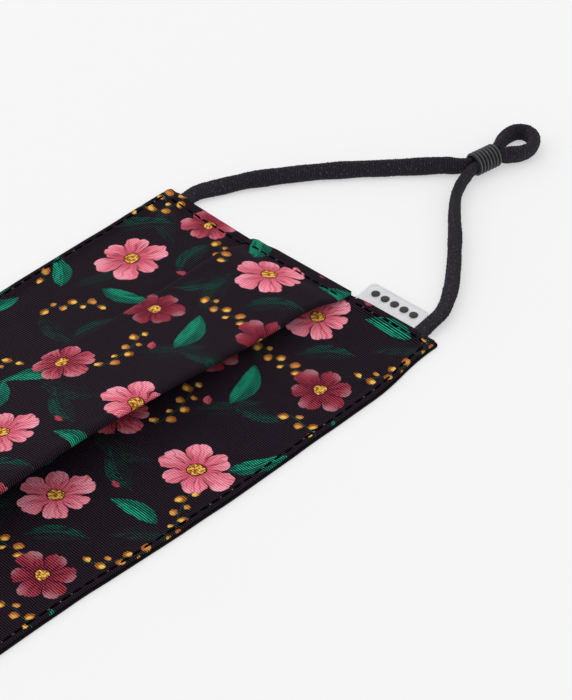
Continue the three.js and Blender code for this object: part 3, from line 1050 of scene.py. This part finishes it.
    def surface(self, offset):
        """Points at a distance from the middle line, towards the printed face."""
        y = self.y - offset * np.sin(self.heading)
        z = self.z + offset * np.cos(self.heading)
        pressed = fall(self.side_distance, *PRESS_AWAY) * rise(y, *PRESS_FROM) * fall(y, *PRESS_TO)
        z = z - (1 - PRESS_SHARE) * np.maximum(z - PRESS_LEVEL, 0) * pressed
        bow = HEM_BOW * rise(self.x, *HEM_BOW_RIGHT) * rise(self.x, *HEM_BOW_LEFT)
        slid = fall(y, FOLD_EDGE, HEM_BOW_FADE)
        outer = rise(np.abs(self.x), SEAM_FLARE_INNER, HALF_UPPER - SEAM_FLARE_INNER)
        flare = SEAM_FLARE * np.maximum(y - SEAM_FLARE_START, 0) * outer
        x = self.x + np.sign(self.x) * flare
        y = y - bow * slid * self.is_lower
        return np.stack([x, y, z], axis=-1)


def ply(name, cloth, back, face, material):
    """A closed sheet between two offsets, with rolled borders."""
    roll = np.sqrt(np.clip(1 - (1 - np.minimum(cloth.border / ROLL_RADIUS, 1)) ** 2, 0, 1))
    centre = (back + face) / 2
    half = (face - back) / 2 * roll
    top = cloth.surface(centre + half)
    bottom = cloth.surface(centre - half)
    rows, columns = cloth.x.shape
    index = np.arange(rows * columns).reshape(rows, columns)
    under = index.copy()
    inner = (rows - 2) * (columns - 2)
    under[1:-1, 1:-1] = rows * columns + np.arange(inner).reshape(rows - 2, columns - 2)
    quads = np.stack([index[:-1, :-1], index[:-1, 1:], index[1:, 1:], index[1:, :-1]], axis=-1)
    backs = np.stack([under[:-1, :-1], under[1:, :-1], under[1:, 1:], under[:-1, 1:]], axis=-1)
    faces = quads.reshape(-1, 4).tolist() + backs.reshape(-1, 4).tolist()
    flat = np.stack(np.broadcast_arrays(cloth.x, cloth.along[:, None], 0.0), axis=-1)
    points = np.vstack([top.reshape(-1, 3), bottom[1:-1, 1:-1].reshape(-1, 3)])
    marks = np.vstack([flat.reshape(-1, 3), flat[1:-1, 1:-1].reshape(-1, 3)])
    return make_piece(name, points, faces, material, [("flat_mm", marks)]), top


def outer_offsets(cloth):
    """Back and face of the printed ply, with the groove that its stitches pull."""
    back = OUTER_BACK + HEM_UNDER_OUTER * cloth.hem + cloth.swelling
    groove = 0.0
    for distance, inset, along, pitch, gate in (
        (cloth.from_low, HEM_STITCH_INSET, cloth.x, HEM_STITCH[0], 1.0),
        (cloth.from_high, HEM_STITCH_INSET, cloth.x, HEM_STITCH[0], 1.0),
        (cloth.from_side, STITCH_INSET, cloth.from_low, SIDE_STITCH[0], cloth.gate),
    ):
        pull = np.exp(-((distance - inset) / GROOVE_WIDTH) ** 2) * gate
        groove = np.maximum(groove, pull * (GROOVE_DEPTH + GROOVE_RIPPLE * np.cos(math.tau * along / pitch)))
    face = OUTER_FACE + HEM_ON_OUTER * cloth.hem + cloth.swelling - groove
    return back, face


class Face:
    """Finds the point of the printed face at a place given along the cloth."""

    def __init__(self, cloth, points):
        self.points = points
        self.x = cloth.x[0]
        self.along = cloth.along
        across = np.gradient(points, axis=1)
        down = np.gradient(points, axis=0)
        normal = np.cross(across, down)
        self.normal = normal / np.maximum(np.linalg.norm(normal, axis=-1, keepdims=True), 1e-9)

    def at(self, x, along):
        column = np.interp(x, self.x, np.arange(len(self.x)))
        row = np.interp(along, self.along, np.arange(len(self.along)))
        c = min(int(column), len(self.x) - 2)
        r = min(int(row), len(self.along) - 2)
        u, v = column - c, row - r

        def mix(grid):
            return ((1 - u) * (1 - v) * grid[r, c] + u * (1 - v) * grid[r, c + 1]
                    + (1 - u) * v * grid[r + 1, c] + u * v * grid[r + 1, c + 1])

        return mix(self.points), mix(self.normal)


def stitch_lines(cloth):
    """Start and end of each topstitched line, as (x, along) pairs."""
    side = HALF_UPPER - STITCH_INSET
    low = HEM_STITCH_INSET
    high = cloth.total - HEM_STITCH_INSET
    flap_start = cloth.along[cloth.nose_row] + FLAP_STITCH_START
    flap_shadow = LOWER_PANEL - LOWER_STITCH_END
    lines = [((-side, low), (side, low)), ((-side, high), (side, high))]
    for sign in (-1, 1):
        under_side = sign * (HALF_UNDER - STITCH_INSET)
        lines.append(((under_side, low), (under_side, flap_shadow)))
        lines.append(((sign * side, flap_start), (sign * side, high)))
    return lines


def topstitch(cloth, face, material, prick_material):
    """All stitches as one mesh of short threads, and the pale needle pricks between them."""
    rng = np.random.default_rng(7)
    spans = np.linspace(0, 1, STITCH_RINGS)
    points, faces, prick_points, prick_faces = [], [], [], []
    for (x0, v0), (x1, v1) in stitch_lines(cloth):
        length = math.hypot(x1 - x0, v1 - v0)
        along = np.array([x1 - x0, v1 - v0]) / length
        aside = np.array([-along[1], along[0]])
        pitch, thread, radius = HEM_STITCH if v0 == v1 else SIDE_STITCH
        for k in range(int(length / pitch)):
            start = k * pitch + rng.uniform(-STITCH_JITTER, STITCH_JITTER) + STITCH_START
            slant = rng.uniform(-STITCH_SLANT, STITCH_SLANT)
            centres = []
            for span in spans:
                x, v = np.array([x0, v0]) + along * (start + span * thread) + aside * slant * span
                centre, normal = face.at(x, v)
                lift = -STITCH_END_SUNK
                if 0 < span < 1:
                    lift = STITCH_RISE * math.sin(math.pi * span) ** STITCH_BLUNTNESS - STITCH_SUNK
                centres.append((centre + normal * lift, normal))
            faces += tube_faces(STITCH_RINGS, STITCH_SIDES, len(points), turned=True)
            heads = np.gradient(np.array([c for c, _ in centres]), axis=0)
            for (centre, normal), head, span in zip(centres, heads, spans):
                head = head / np.linalg.norm(head)
                level = np.cross(head, normal)
                level /= np.linalg.norm(level)
                up = np.cross(level, head)
                size = radius * (STITCH_TAPER if span in (0, 1) else 1.0)
                for turn in circle(STITCH_SIDES):
                    points.append(centre + size * (math.cos(turn) * level + math.sin(turn) * up))
            if rng.uniform() < PRICK_CHANCE:
                x, v = np.array([x0, v0]) + along * (start - PRICK_BEFORE)
                centre, normal = face.at(x, v)
                centre = centre + normal * PRICK_LIFT
                add_bead(prick_points, prick_faces, centre, normal, rng.uniform(*PRICK_RADII))
    stitches = make_piece("topstitch", points, faces, material)
    pricks = make_piece("needle_pricks", prick_points, prick_faces, prick_material)
    return stitches, pricks


def add_bead(points, faces, centre, normal, radius):
    """A flattened eight-sided bead appended to a mesh."""
    side = np.cross(normal, [0.3, 0.9, 0.2])
    side /= np.linalg.norm(side)
    other = np.cross(normal, side)
    base = len(points)
    for turn in circle(8):
        points.append(centre + radius * (math.cos(turn) * side + math.sin(turn) * other))
    points.append(centre + normal * radius * 0.5)
    points.append(centre - normal * radius * 0.5)
    for k in range(8):
        after = base + (k + 1) % 8
        faces.append((base + k, after, base + 8))
        faces.append((after, base + k, base + 9))


# Label: soft translucent tag with a raised rim and a row of raised dots
LABEL_START_Y = -39.3
LABEL_LENGTH = 19
LABEL_INNER_X = 88.9
LABEL_OUTER_X = 96.7
LABEL_THICKNESS = 0.8
LABEL_BASE_Z = 0.74
LABEL_LIFT = 0.75
LABEL_CORNER = 1.5
LABEL_RIM = 0.28
LABEL_RIM_WIDTH = 0.55
# Its thickness under the cloth, as a share of the thickness outside
LABEL_TUCKED_SHARE = 0.55
# Where it comes out from under the cloth
LABEL_EXIT = (89.9, 0.8)
DOT_COUNT = 5
DOT_RADIUS = 1.15
DOT_HEIGHT = 0.3
DOT_SIDES = 24


def label_outline(inset):
    """Outline of the tag, rounded at its two free corners and drawn in by an inset."""
    left, right = LABEL_INNER_X + inset, LABEL_OUTER_X - inset
    low, high = LABEL_START_Y + inset, LABEL_START_Y + LABEL_LENGTH - inset
    radius = max(LABEL_CORNER - inset, 0.3)
    points = [(left, high), (left, (low + high) / 2), (left, low)]
    for centre_y, first in ((low + radius, -math.pi / 2), (high - radius, 0)):
        for step in range(9):
            angle = first + step / 8 * math.pi / 2
            points.append((right - radius + radius * math.cos(angle), centre_y + radius * math.sin(angle)))
    return points


def label_level(x):
    share = np.clip((x - HALF_UNDER) / (LABEL_OUTER_X - HALF_UNDER), 0, 1)
    return LABEL_BASE_Z + LABEL_LIFT * share


def side_label(material, mark_material):
    top = LABEL_THICKNESS
    rim = top + LABEL_RIM
    # Inset and height of each ring of points, from the underside over the rim to the sunk face
    layers = [
        (0.25, 0.0), (0.05, 0.1), (0.0, 0.3), (0.0, rim - 0.25), (0.06, rim - 0.08), (0.2, rim),
        (LABEL_RIM_WIDTH - 0.1, rim), (LABEL_RIM_WIDTH + 0.05, top + 0.08), (LABEL_RIM_WIDTH + 0.2, top),
    ]
    points = []
    for inset, height in layers:
        # The raised rim fades out where the tag passes under the cloth
        for x, y in label_outline(inset):
            outside = float(rise(x, *LABEL_EXIT))
            level = min(height, top) + max(height - top, 0) * outside
            level *= LABEL_TUCKED_SHARE + (1 - LABEL_TUCKED_SHARE) * outside
            points.append((x, y, float(label_level(x)) + level))
    faces = tube_faces(len(layers), len(label_outline(0)))
    tag = make_piece("side_tag", points, faces, material)
    dots, dot_faces = [], []
    centre_x = (HALF_UNDER + LABEL_OUTER_X) / 2 + 0.1
    for k in range(DOT_COUNT):
        centre_y = LABEL_START_Y + LABEL_LENGTH * (k + 1) / (DOT_COUNT + 1)
        add_dot(dots, dot_faces, centre_x, centre_y, float(label_level(centre_x)) + top - 0.02)
    marks = make_piece("tag_dots", dots, dot_faces, mark_material)
    return tag, marks


def add_dot(points, faces, x, y, z):
    """A low round button with a rounded rim."""
    rings = [(1.0, 0.0), (1.0, 0.6), (0.93, 0.88), (0.8, 1.0)]
    faces += tube_faces(len(rings), DOT_SIDES, len(points))
    for scale, height in rings:
        for turn in circle(DOT_SIDES):
            points.append((x + DOT_RADIUS * scale * math.cos(turn), y + DOT_RADIUS * scale * math.sin(turn),
                           z + DOT_HEIGHT * height))


# Cords first
elastic = knitted_elastic()
rubber = stopper_rubber()
for side_name, side in (("right", 1), ("left", -1)):
    stopper = cord_stopper(f"sleeve_{side_name}", side, rubber)
    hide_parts(f"cord_stopper_{side_name}")
    loop, line, length = ear_loop(f"elastic_{side_name}", side, elastic)
    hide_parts(f"ear_loop_{side_name}")
    length * MM
    (line[::4] * MM).tolist()

# Cloth
outer_cloth = FoldedCloth(side_inset=0.45, hem_inset=0.4, fine=0.95, coarse=2.4)
back, face = outer_offsets(outer_cloth)
outer, outer_points = ply("outer_cloth", outer_cloth, back, face, printed_cloth())
inner_cloth = FoldedCloth(side_inset=0.0, hem_inset=0.0, fine=1.9, coarse=3.0)
lining, _ = ply(
    "lining_cloth", inner_cloth, LINING_BACK, LINING_FACE + HEM_ON_LINING * inner_cloth.hem,
    lining_cloth())
for piece in (outer, lining):
    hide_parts("pleated_panel")
printed_face = Face(outer_cloth, outer_points)
stitches, pricks = topstitch(outer_cloth, printed_face, sewing_thread(), pale_prick())
FLAT_SIZE = (2 * HALF_UNDER * MM, outer_cloth.total * MM)

tag, tag_dots = side_label(label_rubber(), mark_rubber())
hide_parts("side_label")


# Floor and light, in metres
FLOOR_SIZE = 6.0
# The floor glows a little, as a lit white sweep does, so that shadows on it stay pale
FLOOR_COLOUR = (0.45, 0.45, 0.452, 1)
FLOOR_GLOW = 0.45
WORLD_STRENGTH = 0.985
LIGHT_AIM = Vector((0.06, 0, 0))
# Place, size and power in watts
LIGHTS = {"key": ((-0.15, 0.75, 0.85), 1.2, 1.3), "fill": ((-0.7, -0.5, 0.8), 0.9, 0.3)}
floor_mesh = bpy.data.meshes.new("floor")
half = FLOOR_SIZE / 2
corners = [(-half, -half, 0), (half, -half, 0), (half, half, 0), (-half, half, 0)]
floor_mesh.from_pydata(corners, [], [(0, 1, 2, 3)])
floor = bpy.data.objects.new("floor", floor_mesh)
bpy.context.scene.collection.objects.link(floor)
floor_material, _, _ = new_material(
    "floor_white", FLOOR_COLOUR, 0.9, Specular_IOR_Level=0.0, Emission_Color=(1, 1, 1, 1),
    Emission_Strength=FLOOR_GLOW)
floor_mesh.materials.append(floor_material)


def area_light(name, place, size, energy):
    data = bpy.data.lights.new(name, "AREA")
    data.shape = "DISK"
    data.size = size
    data.energy = energy
    light = bpy.data.objects.new(name, data)
    light.location = place
    light.rotation_euler = (Vector(place) - LIGHT_AIM).to_track_quat("Z", "Y").to_euler()
    bpy.context.scene.collection.objects.link(light)


for name, row in LIGHTS.items():
    area_light(name, *row)
world = bpy.data.worlds.new("studio")
world.use_nodes = True
background = world.node_tree.nodes["Background"].inputs
background["Color"].default_value = (1.0, 1.0, 1.0, 1.0)
background["Strength"].default_value = WORLD_STRENGTH
bpy.context.scene.world = world
bpy.context.scene.view_settings.view_transform = "Standard"
